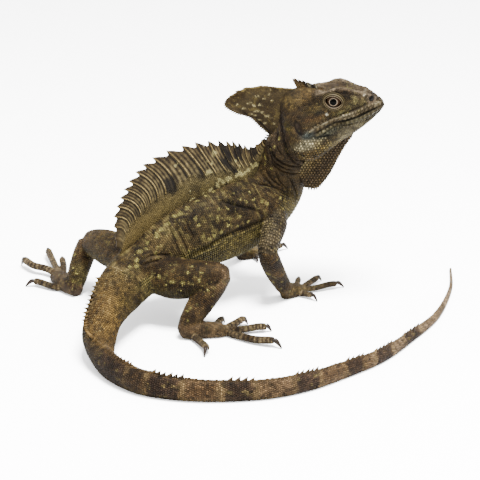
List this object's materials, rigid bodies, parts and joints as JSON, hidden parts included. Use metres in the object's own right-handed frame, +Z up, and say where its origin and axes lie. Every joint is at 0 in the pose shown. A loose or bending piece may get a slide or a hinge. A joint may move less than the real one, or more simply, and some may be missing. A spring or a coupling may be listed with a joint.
{
  "type": "brown basilisk",
  "caption": "Life-size still model of a brown basilisk lizard standing with raised neck, high back crest, head crests and a long tail laid round beside it.",
  "frame": {"origin": "middle of the model's bounding box, on the floor it stands on", "axes": "+Z up, +X the way the snout points, +Y towards the animal's left"},
  "size_m": [0.21, 0.176, 0.1063],
  "materials": {
    "head_skin": "dry scaly hide",
    "body_skin": "dry scaly hide",
    "leg_skin": "dry scaly hide",
    "tail_skin": "dry keeled scales",
    "crest_skin": "dry membrane over bony rays",
    "throat_skin": "loose beaded skin",
    "eye_gloss": "wet gloss"
  },
  "bodies": {
    "root": {"head": "head_skin", "lower_jaw": "head_skin", "eye_left": "eye_gloss", "eye_right": "eye_gloss", "head_crest": "crest_skin", "front_crest": "crest_skin", "throat_fan": "throat_skin", "neck": "body_skin", "torso_front": "body_skin", "torso_rear": "body_skin", "back_crest": "crest_skin", "tail_1": "tail_skin", "tail_2": "tail_skin", "tail_3": "tail_skin", "tail_4": "tail_skin", "tail_5": "tail_skin", "tail_6": "tail_skin", "right_upper_arm": "leg_skin", "right_forearm": "leg_skin", "right_hand": "leg_skin", "left_upper_arm": "leg_skin", "left_forearm": "leg_skin", "left_hand": "leg_skin", "right_thigh": "leg_skin", "right_shin": "leg_skin", "right_hind_foot": "leg_skin", "right_hind_outer_toe": "leg_skin", "left_thigh": "leg_skin", "left_shin": "leg_skin", "left_hind_foot": "leg_skin", "left_hind_outer_toe": "leg_skin"}
  },
  "joints": []
}
